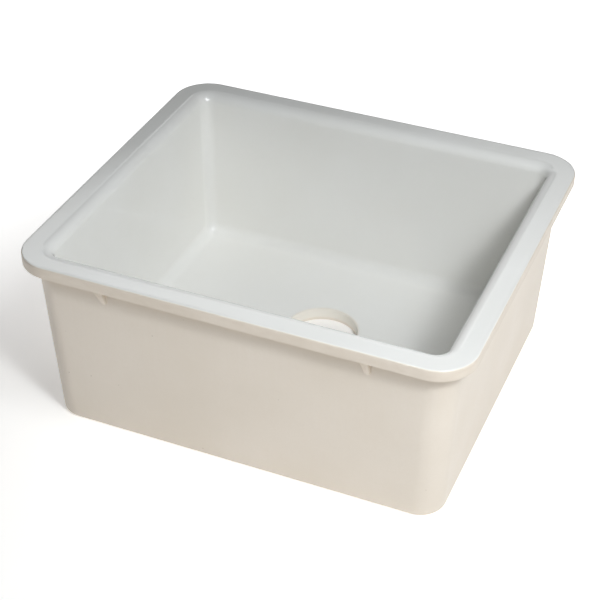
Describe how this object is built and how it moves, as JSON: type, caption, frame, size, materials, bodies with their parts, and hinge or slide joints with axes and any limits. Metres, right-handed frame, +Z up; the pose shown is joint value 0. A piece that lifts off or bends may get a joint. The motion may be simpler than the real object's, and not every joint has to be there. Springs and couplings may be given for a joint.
{
  "type": "undermount sink",
  "caption": "Single-bowl undermount sink with a wide flat rim flange, drafted walls, rolled inner edge, coved floor and an offset waste hole.",
  "frame": {"origin": "middle of the base, on the surface that the sink stands on", "axes": "+Z up, +X to the right along the long side, -Y towards the front; the waste hole is set towards +Y"},
  "size_m": [0.533, 0.466, 0.229],
  "materials": {
    "fireclay": "unglazed fired clay, cream, matt with a faint sheen",
    "white_glaze": "gloss white glaze"
  },
  "bodies": {
    "root": {"fireclay_body": "fireclay", "basin_glaze": "white_glaze", "flange_gussets": "fireclay"}
  },
  "joints": []
}
